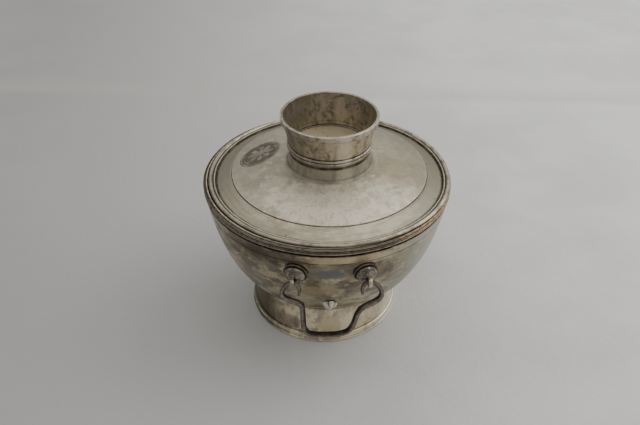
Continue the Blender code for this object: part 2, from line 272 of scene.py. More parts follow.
HAND_WAVES = ((38.0, 0.16), (11.0, 0.035))  # (wavelength, depth) of the unevenness from hand raising
LEVEL_BELOW = 8  # under this height the unevenness fades, so that the foot stands flat
HAND_SEED = 7
noise.seed_set(HAND_SEED)  # without it noise_vector takes its offset from the clock and each run differs


def by_hand(point):
    """A point moved by the unevenness that every piece of the object shares."""
    point = Vector(point)
    moved = point.copy()
    for wavelength, depth in HAND_WAVES:
        moved += depth * noise.noise_vector(point / wavelength)
    flat = min(1.0, max(0.0, point.z / LEVEL_BELOW))
    moved.z = point.z + (moved.z - point.z) * flat
    return moved


def link(obj):
    bpy.context.scene.collection.objects.link(obj)
    return obj


def finish_mesh(name, points, faces, dirt_and_painted_light_values, material, sharp=SHARP):
    """An object with its mesh in the frame's place, and in a float attribute at each vertex the dirt with
    painted shade, above 0, and the wear with painted highlights, below 0.
    """
    mesh = bpy.data.meshes.new(name)
    mesh.from_pydata([by_hand(p) * MM for p in points], [], faces)
    shape = bmesh.new()
    shape.from_mesh(mesh)
    bmesh.ops.recalc_face_normals(shape, faces=shape.faces)
    shape.to_mesh(mesh)
    shape.free()
    mesh.shade_smooth()
    mesh.set_sharp_from_angle(angle=math.radians(sharp))
    mesh.attributes.new("dirt_and_painted_light", "FLOAT", "POINT").data.foreach_set("value", dirt_and_painted_light_values)
    mesh.materials.append(material)
    return link(bpy.data.objects.new(name, mesh))


def place_piece(obj, body, node):
    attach(obj, body)
    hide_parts(node)
    return obj


def round_faces(rings, steps):
    """Faces between each ring and the next. A ring on the axis repeats one point, so it gives triangles."""
    faces = []
    for low, high in rings:
        for i in range(steps):
            k = (i + 1) % steps
            face = list(dict.fromkeys([low[i], low[k], high[k], high[i]]))
            if len(face) > 2:
                faces.append(face)
    return faces


def turned(name, profile, material, marks=(), closed=True, center_x=0.0, place=None, steps=TURN_STEPS):
    """A profile of (radius, height) turned round Z. An open one starts and ends on the axis."""
    profile = with_fine_steps(profile, marks, closed)
    place = place or Matrix.Translation((center_x, 0.0, 0.0))
    points, dirt_and_painted_light_values, rings = [], [], []
    for radius, z in profile:
        count = steps if radius > ON_AXIS else 1
        first = len(points)
        for i in range(count):
            angle = 2 * math.pi * i / steps
            points.append(place @ Vector((radius * math.cos(angle), radius * math.sin(angle), z)))
        dirt_and_painted_light_values += [dirt_and_painted_light_at((radius, z), marks)] * count
        rings.append([first + i % count for i in range(steps)])
    faces = round_faces(zip(rings, rings[1:] + rings[:1] if closed else rings[1:]), steps)
    return finish_mesh(name, points, faces, dirt_and_painted_light_values, material)


def sheet_outline(outer, thickness):
    """A closed outline round an open one, its other side inwards by the thickness."""
    return [*outer, *reversed(grown(outer, -thickness))]


def tube(name, path, radii, material, square, up, sides, dirt_and_painted_light, wide=1.0):
    """A wire along a path. square is the exponent of its section: 2 is round, and more is squarer with
    its flats facing up. wide stretches the section along up, and the function given before wide returns, at a
    place, the dirt with painted shade above 0 and the wear with painted highlights below 0."""
    count = len(path)
    tangents = [(path[min(i + 1, count - 1)] - path[max(i - 1, 0)]).normalized() for i in range(count)]
    spots = list(zip(path, tangents, radii))
    caps = [(math.sin(a), math.cos(a)) for a in (math.radians(d) for d in (75, 55, 30))]
    start = [(path[0] - tangents[0] * radii[0] * out, tangents[0], radii[0] * size) for out, size in caps]
    end = [(path[-1] + tangents[-1] * radii[-1] * out, tangents[-1], radii[-1] * size) for out, size in caps]
    spots = [*start, *spots, *reversed(end)]
    points, dirt_and_painted_light_values, rings = [], [], []
    for spot, tangent, radius in spots:
        side = tangent.cross(up).normalized()
        top = side.cross(tangent).normalized()
        rings.append(range(len(points), len(points) + sides))
        for i in range(sides):
            angle = 2 * math.pi * (i + 0.5) / sides
            x, y = math.cos(angle), math.sin(angle)
            size = (abs(x) ** square + abs(y) ** square) ** (-1 / square)
            out = side * x + top * y * wide
            points.append(spot + out * radius * size)
            dirt_and_painted_light_values.append(dirt_and_painted_light(spot, out))
    faces = [*round_faces(zip(rings, rings[1:]), sides), list(rings[0]), list(rings[-1])]
    return finish_mesh(name, points, faces, dirt_and_painted_light_values, material, WIRE_SHARP)


# ---- materials

class Metal:
    """A tarnished metal, built as layers of colour and roughness, each with its own mask. Some of the layers
    are painted shade and painted highlights.
    """

    def __init__(self, name, color, roughness, metallic=1.0):
        self.material = bpy.data.materials.new(name)
        self.material.use_nodes = True
        self.nodes = self.material.node_tree.nodes
        self.links = self.material.node_tree.links
        self.shader = self.nodes["Principled BSDF"]
        self.shader.inputs["Metallic"].default_value = metallic
        self.color = color
        self.roughness = roughness
        self.place = self.nodes.new("ShaderNodeTexCoord").outputs["Object"]
        self.seed = 0

    def put(self, socket, value):
        if isinstance(value, bpy.types.NodeSocket):
            self.links.new(value, socket)
        elif isinstance(value, (tuple, list)) and len(value) == 3 and len(socket.default_value) == 4:
            socket.default_value = (*value, 1.0)
        else:
            socket.default_value = value

    def math(self, operation, a, b):
        node = self.nodes.new("ShaderNodeMath")
        node.operation = operation
        self.put(node.inputs[0], a)
        self.put(node.inputs[1], b)
        return node.outputs[0]

    def vector_math(self, operation, a, b=None):
        node = self.nodes.new("ShaderNodeVectorMath")
        node.operation = operation
        self.put(node.inputs[0], a)
        if b is not None:
            self.put(node.inputs[1], b)
        return node.outputs["Value" if operation in ("LENGTH", "DOT_PRODUCT") else "Vector"]

    def parts(self, vector):
        node = self.nodes.new("ShaderNodeSeparateXYZ")
        self.links.new(vector, node.inputs[0])
        return node.outputs

    def from_axis(self, center_x):
        """The level vector out from the upright axis at center_x."""
        offset = self.vector_math("SUBTRACT", self.place, (center_x * MM, 0.0, 0.0))
        return self.vector_math("MULTIPLY", offset, (1.0, 1.0, 0.0))

    def mapped(self, scale, shift):
        """The place in the frame, scaled, and shifted so that no two patterns line up."""
        node = self.nodes.new("ShaderNodeMapping")
        node.inputs["Scale"].default_value = scale
        node.inputs["Location"].default_value = shift
        self.links.new(self.place, node.inputs["Vector"])
        return node.outputs[0]

    def noise_at(self, vector, detail, roughness):
        node = self.nodes.new("ShaderNodeTexNoise")
        node.inputs["Scale"].default_value = 1.0
        node.inputs["Detail"].default_value = detail
        node.inputs["Roughness"].default_value = roughness
        self.links.new(vector, node.inputs["Vector"])
        return node.outputs[0]

    def ramp(self, value, low, high, to_low=0.0, to_high=1.0):
        """The value eased from to_low at low to to_high at high."""
        node = self.nodes.new("ShaderNodeMapRange")
        node.interpolation_type = "SMOOTHSTEP"
        for socket, number in zip(node.inputs, (value, low, high, to_low, to_high)):
            self.put(socket, number)
        return node.outputs[0]

    def noise(self, size, stretch=(1, 1, 1), detail=3.0):
        """Noise about the size given in millimetres, longer along an axis whose stretch is above 1."""
        self.seed += 1
        scale = [1 / (size * MM * s) for s in stretch]
        shift = (self.seed * 3.7, self.seed * 1.9, self.seed * 5.3)
        return self.noise_at(self.mapped(scale, shift), detail, 0.55)

    def blotches(self, size, low, high, detail=6.0, stretch=(1, 1, 1)):
        """A mask of noise: 0 where it is under low, easing to 1 at high."""
        return self.ramp(self.noise(size, stretch, detail), low, high)

    def rings(self, center_x, width, turns=2.5):
        """Noise drawn out round the upright axis at center_x, in rings about the width in millimetres."""
        self.seed += 1
        level = self.from_axis(center_x)
        around = self.parts(self.vector_math("NORMALIZE", level))
        along = self.math("SUBTRACT", self.vector_math("LENGTH", level), self.parts(self.place)["Z"])
        across = self.math("ADD", self.math("MULTIPLY", along, 1 / (width * MM)), self.seed * 7.3)
        joined = self.nodes.new("ShaderNodeCombineXYZ")
        self.links.new(self.math("MULTIPLY", around["X"], turns), joined.inputs["X"])
        self.links.new(self.math("MULTIPLY", around["Y"], turns), joined.inputs["Y"])
        self.links.new(across, joined.inputs["Z"])
        return self.noise_at(joined.outputs[0], 4.0, 0.5)

    def specks(self, size, width):
        """Small round specks, one in each cell of that size, as wide as the width's share of it."""
        self.seed += 1
        place = self.mapped([1 / (size * MM)] * 3, (self.seed * 2.3, self.seed * 4.1, self.seed))
        node = self.nodes.new("ShaderNodeTexVoronoi")
        node.inputs["Scale"].default_value = 1.0
        self.links.new(place, node.inputs["Vector"])
        return self.ramp(node.outputs["Distance"], width, width * 0.5)

    def side(self, direction, low, high):
        """0 to 1 along a direction, between two distances in millimetres from the origin."""
        return self.ramp(self.vector_math("DOT_PRODUCT", self.place, direction), low * MM, high * MM)

    def radial(self, center_x, low, high):
        """0 to 1 between two distances from the upright axis at center_x."""
        return self.ramp(self.vector_math("LENGTH", self.from_axis(center_x)), low * MM, high * MM)

    def spot(self, center, radii, ragged=0.5):
        """A soft patch round a point, with a ragged edge."""
        offset = self.vector_math("SUBTRACT", self.place, [c * MM for c in center])
        length = self.vector_math("LENGTH", self.vector_math("DIVIDE", offset, [r * MM for r in radii]))
        torn = self.math("MULTIPLY", self.math("SUBTRACT", self.noise(6.0), 0.5), 2 * ragged)
        return self.ramp(self.math("ADD", length, torn), 1.0, 0.45)

    def dirt_and_painted_light(self):
        """The mesh's own dirt and painted light: above 0 in hollows, with painted shade, and below 0 on
        rubbed edges, with painted highlights.
        """
        node = self.nodes.new("ShaderNodeAttribute")
        node.attribute_name = "dirt_and_painted_light"
        return node.outputs["Fac"]

    def mix(self, mask, kind, a, b):
        node = self.nodes.new("ShaderNodeMix")
        node.data_type = kind
        sockets = (6, 7) if kind == "RGBA" else (2, 3)
        self.put(node.inputs[0], mask)
        self.put(node.inputs[sockets[0]], a)
        self.put(node.inputs[sockets[1]], b)
        return node.outputs[2 if kind == "RGBA" else 0]

    def layer(self, color, roughness, *masks):
        """A colour and roughness over the ones below, where all the masks are 1. A number is a strength."""
        mask = self.both(*masks)
        self.color = self.mix(mask, "RGBA", self.color, color)
        self.roughness = self.mix(mask, "FLOAT", self.roughness, roughness)

    def both(self, *masks):
        found = masks[0]
        for mask in masks[1:]:
            found = self.math("MULTIPLY", found, mask)
        return found

    def hollow_tarnish_and_shade(self, color=(0.035, 0.028, 0.02), strength=1.0):
        """Dark tarnish and painted shade in the hollows, broken up by noise."""
        broken = self.ramp(self.noise(5.0, detail=4.0), 0.25, 0.6, 0.55, 1.0)
        self.layer(color, 0.6, self.ramp(self.dirt_and_painted_light(), 0.05, 0.8), broken, strength)

    def rubbed_wear_and_highlights(self, color, roughness=0.3, strength=1.0):
        """Bare metal and painted highlights on the rubbed edges, broken up by noise."""
        broken = self.ramp(self.noise(3.5, detail=4.0), 0.35, 0.62, 0.25, 1.0)
        self.layer(color, roughness, self.ramp(self.dirt_and_painted_light(), -0.05, -0.8), broken, strength)

    def done(self, bump=0.06, grain=0.6, stretch=(1, 1, 1)):
        """Connects the layers and adds a fine bump, its depth in millimetres."""
        self.put(self.shader.inputs["Base Color"], self.color)
        self.put(self.shader.inputs["Roughness"], self.roughness)
        fine = self.noise(grain, stretch, detail=2.0)
        dents = self.noise(5.0, detail=2.0)
        height = self.math("ADD", fine, self.math("MULTIPLY", dents, 3.0))
        node = self.nodes.new("ShaderNodeBump")
        node.inputs["Strength"].default_value = 1.0
        node.inputs["Distance"].default_value = bump * MM
        self.links.new(height, node.inputs["Height"])
        self.links.new(node.outputs[0], self.shader.inputs["Normal"])
        return self.material


BROWN_BLACK = (0.045, 0.034, 0.025)


def lid_metal():
    metal = Metal("satin_silver_lid_metal", (0.74, 0.665, 0.51), 0.38, 0.45)
    metal.layer((0.53, 0.465, 0.335), 0.44, metal.blotches(24.0, 0.42, 0.58))
    metal.layer((0.41, 0.375, 0.285), 0.48, metal.blotches(11.0, 0.48, 0.60), 0.65)
    metal.layer((0.88, 0.81, 0.655), 0.30, metal.blotches(6.0, 0.52, 0.64), 0.7)
    metal.layer((0.34, 0.30, 0.22), 0.46, metal.blotches(3.2, 0.52, 0.66), 0.5)
    metal.layer((0.42, 0.38, 0.285), 0.44, metal.ramp(metal.rings(LID_X, 6.0), 0.48, 0.62), 0.35)
    # darker towards the left, the right and the back
    metal.layer((0.38, 0.355, 0.295), 0.38, metal.side((-1, 0, 0), -6, 66), 0.60)
    metal.layer((0.35, 0.32, 0.235), 0.38, metal.side((1, 0.2, 0), 16, 60), 0.68)
    metal.layer((0.33, 0.305, 0.235), 0.42, metal.side((0, 1, 0), 10, 62), 0.5)
    metal.layer((0.44, 0.35, 0.22), 0.44, metal.spot((42, -12, 110), (15, 17, 14)), 0.5)
    # painted highlight: a broad bright patch over the front of the dome
    metal.layer((0.94, 0.865, 0.705), 0.44, metal.spot((6, -48, 110), (62, 30, 20), 0.8), 0.75)
    metal.layer((0.50, 0.455, 0.31), 0.44, metal.blotches(8.0, 0.50, 0.62), 0.4)
    metal.layer((0.40, 0.36, 0.27), 0.46, metal.blotches(1.8, 0.52, 0.66, 5.0), 0.4)
    neck = metal.both(metal.radial(LID_X, 30.5, 27.6), metal.radial(LID_X, 25.0, 25.6))
    # painted shade round the neck under the collar, in upright streaks
    metal.layer((0.39, 0.355, 0.28), 0.44, neck, 0.9)
    metal.layer((0.27, 0.24, 0.185), 0.46,
                neck, metal.blotches(5.0, 0.46, 0.60, 5.0, stretch=(0.8, 0.8, 2.0)), 0.6)
    # painted highlight: the collar's bright upright band carried down the neck
    metal.layer((0.72, 0.655, 0.53), 0.36, neck, metal.spot((LID_X + 9, -27, 119), (7, 9, 12), 0.25), 0.6)
    metal.layer((0.60, 0.50, 0.32), 0.40, metal.radial(LID_X, 26, 24.5), 0.8)
    flange = metal.radial(LID_X, STEP[0] - 0.2, STEP[0] + 1.5)
    metal.layer((0.56, 0.50, 0.35), 0.40, flange, 0.45)
    # the flange darker towards the left, the right and the back
    metal.layer((0.24, 0.215, 0.165), 0.38, flange, metal.side((-1, 0.5, 0), 26, 70), 0.75)
    metal.layer((0.27, 0.245, 0.185), 0.38, flange, metal.side((1, 0.3, 0), 0, 56), 0.8)
    metal.layer((0.27, 0.25, 0.19), 0.38, flange, metal.side((0, 1, 0), 20, 66), 0.6)
    metal.layer((0.30, 0.26, 0.19), 0.44,
                flange, metal.ramp(metal.rings(LID_X, 3.5, 3.0), 0.46, 0.62), 0.45)
    metal.layer(BROWN_BLACK, 0.6, metal.specks(4.5, 0.16), metal.blotches(14.0, 0.5, 0.62, 3.0), 0.75)
    metal.hollow_tarnish_and_shade()
    metal.rubbed_wear_and_highlights((0.80, 0.75, 0.62))
    return metal.done(0.05)


def bead_metal():
    metal = Metal("lid_bead_metal", (0.54, 0.49, 0.38), 0.36)
    metal.layer((0.30, 0.265, 0.19), 0.45, metal.blotches(8.0, 0.43, 0.60, 4.0))
    metal.layer((0.25, 0.22, 0.17), 0.42, metal.side((-1, -0.4, 0), 30, 70), 0.45)
    metal.hollow_tarnish_and_shade()
    metal.rubbed_wear_and_highlights((0.82, 0.77, 0.64), 0.28, 0.7)
    return metal.done(0.05)


def rosette_metal():
    metal = Metal("lid_rosette_metal", (0.40, 0.37, 0.295), 0.42, 0.7)
    metal.layer((0.27, 0.245, 0.195), 0.48, metal.blotches(5.0, 0.42, 0.60, 5.0))
    metal.hollow_tarnish_and_shade((0.09, 0.08, 0.062), 0.75)
    metal.rubbed_wear_and_highlights((0.52, 0.48, 0.39), 0.36, 0.8)
    return metal.done(0.07)


def bowl_metal():
    metal = Metal("tarnished_silver_bowl_metal", (0.50, 0.435, 0.305), 0.30, 0.92)
    metal.layer((0.29, 0.26, 0.17), 0.34, metal.blotches(20.0, 0.42, 0.58, 5.0, stretch=(1.3, 1.3, 0.9)))
    metal.layer((0.15, 0.12, 0.085), 0.42, metal.blotches(9.0, 0.47, 0.60, stretch=(1.4, 1.4, 0.8)), 0.75)
    metal.layer((0.25, 0.215, 0.205), 0.44,
                metal.blotches(13.0, 0.53, 0.62, 5.0, stretch=(1.2, 1.2, 0.9)), 0.65)
    metal.layer((0.66, 0.58, 0.42), 0.30, metal.blotches(6.0, 0.52, 0.66, stretch=(1.3, 1.3, 0.9)), 0.7)
    metal.layer((0.17, 0.14, 0.10), 0.42, metal.blotches(2.6, 0.53, 0.66, stretch=(1.4, 1.4, 0.9)), 0.45)
    # painted reflection: a lighter greenish grey towards the right
    metal.layer((0.43, 0.415, 0.33), 0.30, metal.side((1, 0, 0), 26, 62), 0.8)
    metal.layer((0.085, 0.07, 0.052), 0.45, metal.spot((-34, -66, 92), (36, 20, 9)), 0.8)
    metal.layer((0.12, 0.10, 0.075), 0.45, metal.spot((30, -70, 80), (12, 14, 11)), 0.6)
    metal.layer((0.16, 0.175, 0.175), 0.34, metal.spot((0, -78, 82), (15, 14, 6.0)), 0.75)
    metal.layer((0.56, 0.43, 0.24), 0.32, metal.spot((-6, -73, 66), (17, 12, 5.5)), 0.55)
    metal.layer((0.36, 0.31, 0.28), 0.40, metal.spot((-46, -50, 66), (16, 16, 12)), 0.5)
    # painted highlight on the band between the incised line and the rim, at the front
    above = metal.side((0, 0, 1), INCISED_Z - 0.4, INCISED_Z + 0.3)
    metal.layer((0.62, 0.49, 0.31), 0.3, above, metal.spot((12, -80, 94), (34, 16, 12), 0.3), 0.7)
    metal.hollow_tarnish_and_shade()
    metal.rubbed_wear_and_highlights((0.70, 0.64, 0.50))
    return metal.done(0.05, 0.8, (3, 3, 0.8))


def rim_metal():
    metal = Metal("blackened_rim_metal", (0.15, 0.125, 0.10), 0.36)
    metal.layer((0.25, 0.21, 0.165), 0.4, metal.blotches(9.0, 0.45, 0.60, 4.0, stretch=(2, 2, 0.5)))
    metal.layer((0.27, 0.24, 0.195), 0.38, metal.side((-1, -0.6, 0), 50, 84), 0.55)
    metal.layer((0.50, 0.36, 0.205), 0.36, metal.side((1, 0, 0), 24, 66), 0.75)
    metal.layer((0.44, 0.40, 0.29), 0.38, metal.side((0, 1, 0), 0, 60), 0.7)
    metal.layer((0.10, 0.075, 0.05), 0.45, metal.blotches(2.5, 0.50, 0.62, 4.0), 0.65)
    metal.layer((0.15, 0.105, 0.065), 0.5,
                metal.side((1, 0, 0), 0, 40), metal.blotches(1.5, 0.48, 0.60, 5.0), 0.6)
    metal.hollow_tarnish_and_shade()
    metal.rubbed_wear_and_highlights((0.66, 0.58, 0.45), 0.3, 0.7)
    return metal.done(0.12)


def foot_metal():
    upright = (0.8, 0.8, 2.2)
    metal = Metal("golden_foot_metal", (0.92, 0.82, 0.60), 0.30, 0.85)
    # tone in upright bands: partly tarnish, partly painted reflections banding the foot's wall
    metal.layer((0.70, 0.60, 0.42), 0.36, metal.blotches(14.0, 0.46, 0.60, 5.0, stretch=upright))
    mottled = metal.math("SUBTRACT", 1.0, metal.both(metal.spot((12, -48, 10), (26, 16, 16), 0.3), 0.85))
    metal.layer((0.36, 0.29, 0.20), 0.42, metal.blotches(5.0, 0.50, 0.62), mottled, 0.7)
    metal.layer((0.42, 0.35, 0.315), 0.42,
                metal.blotches(8.0, 0.52, 0.62, 5.0, stretch=upright), mottled, 0.7)
    # painted reflection: a dark band over the foot's left side
    metal.layer((0.105, 0.09, 0.06), 0.38, metal.side((-1, 0, 0), 24, 42), 0.9)
    metal.layer((0.20, 0.15, 0.12), 0.40, metal.spot((-26, -42, 11), (14, 12, 7)), 0.6)
    metal.layer((0.42, 0.365, 0.27), 0.34,
                metal.side((1, 0, 0), 20, 36), metal.side((1, 0, 0), 46, 40), 0.6)
    # painted highlight along the foot's right edge
    metal.layer((1.0, 0.93, 0.78), 0.26, metal.side((1, -0.3, 0), 40, 50), 0.7)
    metal.hollow_tarnish_and_shade()
    metal.rubbed_wear_and_highlights((0.94, 0.87, 0.70), 0.28)
    return metal.done(0.05, 0.8, (1, 1, 2))


def collar_metal():
    upright = (0.7, 0.7, 4.0)
    metal = Metal("brown_silver_collar_metal", (0.545, 0.485, 0.385), 0.34, 0.8)
    metal.layer((0.39, 0.345, 0.27), 0.42, metal.blotches(7.0, 0.44, 0.58, 5.0, stretch=upright))
    metal.layer((0.18, 0.155, 0.12), 0.48, metal.blotches(4.0, 0.50, 0.64), 0.75)
    metal.layer((0.66, 0.59, 0.47), 0.36, metal.blotches(1.8, 0.50, 0.66, 5.0), 0.45)
    # painted shade: darker towards the left
    metal.layer((0.20, 0.175, 0.135), 0.44, metal.side((-1, 0, 0), -2, 22), 0.45)
    # painted highlight: a bright upright band just right of the front
    painted_highlight_band = metal.spot((LID_X + 8, -27, 130), (6.5, 12, 26), 0.25)
    metal.layer((0.92, 0.84, 0.70), 0.30, painted_highlight_band, 0.62)
    metal.hollow_tarnish_and_shade()
    metal.rubbed_wear_and_highlights((0.76, 0.70, 0.58), 0.28)
    return metal.done(0.05)


def fitting_metal(name, color, worn_and_highlight, metallic=1.0, roughness=0.42):
    metal = Metal(name, color, roughness, metallic)
    metal.layer(tuple(0.55 * c for c in color), 0.5, metal.blotches(3.0, 0.42, 0.62, 4.0))
    metal.layer(worn_and_highlight, 0.34, metal.blotches(1.6, 0.56, 0.7, 3.0), 0.6)
    metal.hollow_tarnish_and_shade()
    # rubbed edges in the lighter colour: wear with painted highlights
    metal.rubbed_wear_and_highlights(worn_and_highlight, 0.3)
    return metal.done(0.09)


# ---- bowl and foot

WALL = bezier(WALL_TOP, *WALL_HANDLES, (0.0, BOWL_BOTTOM_Z), 96)
WALL_BY_HEIGHT = [(z, radius) for radius, z in reversed(WALL)]


def wall_radius(z):
    """The bowl's outer radius at a height."""
    return interpolate(WALL_BY_HEIGHT, z)


def wall_tilt(z):
    """How far the wall leans out from upright at a height, which is how far its normal points down."""
    return math.atan2(wall_radius(z + 1) - wall_radius(z - 1), 2)


def wall_frame(azimuth, z):
    """The frame of a fitting on the wall: +Z out of it and +Y up along it. Azimuth 0 is at -Y."""
    tilt = wall_tilt(z)
    outward = Vector((math.sin(azimuth), -math.cos(azimuth), 0.0))
    upward = Vector((0.0, 0.0, 1.0))
    normal = outward * math.cos(tilt) - upward * math.sin(tilt)
    along = outward * math.sin(tilt) + upward * math.cos(tilt)
    turn = Matrix((along.cross(normal), along, normal)).transposed().to_4x4()
    return Matrix.Translation(outward * wall_radius(z) + upward * z) @ turn


def notched(wall, z, width, depth):
    """An outline with a shallow V groove cut in it at a height."""
    return [(radius - depth * max(0.0, 1 - abs(height - z) / (width / 2)), height) for radius, height in wall]


def make_bowl(metal):
    fine = [WALL_TOP]
    for start, end in zip(WALL, WALL[1:]):
        steps = 8 if abs(start[1] - INCISED_Z) < 2.5 else 1
        fine += [tuple(Vector(start).lerp(Vector(end), (i + 1) / steps)) for i in range(steps)]
    edge_z = RIM_Z - LIP_ROUND
    mouth = [(MOUTH_RADIUS, edge_z), (MOUTH_RADIUS, WALL_TOP[1] + 0.3)]
    outer = [*mouth, *notched(fine, INCISED_Z, 0.9, 0.3)]
    inner = [(radius, min(z, edge_z)) for radius, z in grown([*mouth, *WALL], -SHEET)]
    inner[-1] = (0.0, BOWL_BOTTOM_Z + SHEET)
    inside = MOUTH_RADIUS - SHEET
    lip = [(inside, edge_z), (inside + LIP_ROUND, RIM_Z), (MOUTH_RADIUS - LIP_ROUND, RIM_Z)]
    profile = [*reversed(inner[1:]), *lip, *outer]
    marks = [((wall_radius(INCISED_Z), INCISED_Z), 0.7, 0.55), (WALL_TOP, 1.6, 1.0),
             ((wall_radius(21.0), 21.0), 2.4, 0.4), ((MOUTH_RADIUS - 0.6, RIM_Z), 0.8, -0.8)]
    obj = turned("raised_bowl", profile, metal, marks, closed=False)
    return place_piece(obj, "bowl", "bowl_shell")


def make_rim(metal):
    inner = MOUTH_RADIUS + 0.05
    depth = RIM_RADIUS - inner
    height = RIM_Z - RIM_LOW_Z
    # each reed's top, and its share of the moulding's height
    reeds = [(RIM_Z - 0.15, 0.36), (RIM_Z - 0.36 * height - 0.25, 0.14), (RIM_Z - 0.54 * height - 0.3, 0.40)]
    profile, marks = [(inner, RIM_Z)], []
    for top, share in reeds:
        half = share * height / 2
        profile += arc((inner + 0.35 * depth, top - half), (0.65 * depth, half * 0.98), 86, -86, 10)
        # each reed's crest gets wear with a painted highlight, and the groove above it tarnish with painted
        # shade
        marks += [((RIM_RADIUS, top - half), 0.45 * half, -0.9), ((inner + 0.4 * depth, top), 0.55, 1.0)]
    marks.append(((inner + 0.4 * depth, RIM_LOW_Z), 0.6, 1.0))
    profile.append((inner, RIM_LOW_Z))
    obj = turned("reeded_mouth_moulding", profile, metal, marks)
    return place_piece(obj, "bowl", "rim_moulding")


def make_foot(metal):
    base = FOOT_MOULDING_Z + 0.1
    top = interpolate(WALL[::-1], FOOT_TOP_RADIUS) + 1.4
    outer = bezier((FOOT_TOP_RADIUS, top), (FOOT_TOP_RADIUS - 0.3, top - 10),
                   (FOOT_BASE_RADIUS - 0.2, base + 6), (FOOT_BASE_RADIUS, base), 24)
    profile = sheet_outline(outer, SHEET)
    marks = [((FOOT_BASE_RADIUS, base), 1.4, 0.4), ((FOOT_TOP_RADIUS, top - 2.6), 1.6, 0.5)]
    wall = turned("foot_wall", profile, metal, marks, center_x=FOOT_X)
    place_piece(wall, "bowl", "foot_ring")

    inner = FOOT_BASE_RADIUS - 2.2
    high = FOOT_MOULDING_Z
    edge = 2.1
    outline = [(inner, high - 0.3), (inner + 0.3, high), (FOOT_BASE_RADIUS + 0.2, high)]
    size = (FOOT_RADIUS - FOOT_BASE_RADIUS - 0.9, high - edge - 0.3)
    outline += arc((FOOT_BASE_RADIUS + 0.6, edge + 0.3), size, 88, 14, 12)
    outline += [(FOOT_RADIUS - 0.5, edge), *arc((FOOT_RADIUS - 0.8, 1.05), (0.8, 1.0), 75, -75, 8)]
    outline.append((inner, 0.0))
    marks = [((FOOT_RADIUS - 0.4, edge + 0.1), 0.6, 0.5), ((FOOT_BASE_RADIUS, high), 0.9, 0.45),
             ((FOOT_RADIUS, 1.05), 0.8, -0.8), ((FOOT_RADIUS - 0.9, high - 1.2), 1.2, -0.7)]
    moulding = turned("foot_moulding", outline, metal, marks, center_x=FOOT_X)
    return place_piece(moulding, "bowl", "foot_base_moulding")


# ---- lid and collar

DOME = bezier(NECK_FOOT, (40.0, 112.5), (53.0, 110.8), STEP, 32)


def make_lid(plate_metal, edge_metal, ring_metal):
    edge, edge_z = FLANGE_EDGE
    crown = [(0.0, CROWN_Z), (CROWN_RADIUS - 0.8, CROWN_Z)]
    neck = bezier((CROWN_RADIUS, CROWN_Z - 0.8), (CROWN_RADIUS, 118.0), (25.9, 113.9), NECK_FOOT, 20)
    step = [(STEP[0] + 0.12, STEP[1] - STEP_HEIGHT - 0.12), (STEP[0] + 0.5, STEP[1] - STEP_HEIGHT - 0.06)]
    flange = [(edge - 0.5, edge_z + 0.22), (edge - 0.1, edge_z + 0.45), LIP_TOP]
    outer = crown + neck + DOME[1:] + step + flange
    under = [(0.0, CROWN_Z)] + neck + DOME[1:] + [FLANGE_EDGE]
    inner = grown(under, -LID_SHEET)
    inner[0] = (0.0, CROWN_Z - LID_SHEET)
    inner[1] = (CROWN_RADIUS - LID_SHEET, CROWN_Z - LID_SHEET)
    top, top_z = LIP_TOP
    lip = [(top + 0.45, top_z + 0.05), (top + 0.8, top_z - 0.1), (edge + 0.85, edge_z)]
    profile = [*outer, *lip, *reversed(inner)]
    marks = [(step[0], 0.55, 1.0), ((edge - 0.2, edge_z + 0.4), 1.5, 1.0),
             (LIP_TOP, 0.7, -0.8), ((CROWN_RADIUS, CROWN_Z - 2.6), 2.2, 0.8), ((24.8, CROWN_Z), 1.2, 1.0),
             ((STEP[0] - 0.5, STEP[1] + 0.1), 0.5, -0.4), ((27.0, 114.4), 2.4, 0.42)]
    obj = turned("domed_lid", profile, plate_metal, marks, closed=False, center_x=LID_X)
    place_piece(obj, "lid", "lid_plate")

    middle = (BEAD_RADIUS * 2 - BEAD_WIDTH) / 2
    size = (BEAD_RADIUS - middle, BEAD_HIGH_Z - BEAD_LOW_Z)
    bead = arc((middle, BEAD_LOW_Z), size, 180, 0, 20)
    marks = [((middle, BEAD_HIGH_Z), 0.9, -0.6), (bead[0], 0.6, 0.5), (bead[-1], 0.5, 1.0)]
    obj = turned("lid_edge_bead", bead, edge_metal, marks, center_x=LID_X)
    place_piece(obj, "lid", "lid_lip_bead")

    low, high = SEAT_Z
    inner = SEAT_RADIUS - LID_SHEET
    ring = [(inner, high), (SEAT_RADIUS, high), (SEAT_RADIUS, low + 0.4), (SEAT_RADIUS - 0.3, low),
            (inner + 0.3, low), (inner, low + 0.4)]
    obj = turned("seat_ring", ring, ring_metal, [((SEAT_RADIUS, high), 1.0, 0.8)], center_x=LID_X)
    return place_piece(obj, "lid", "lid_seat_ring")


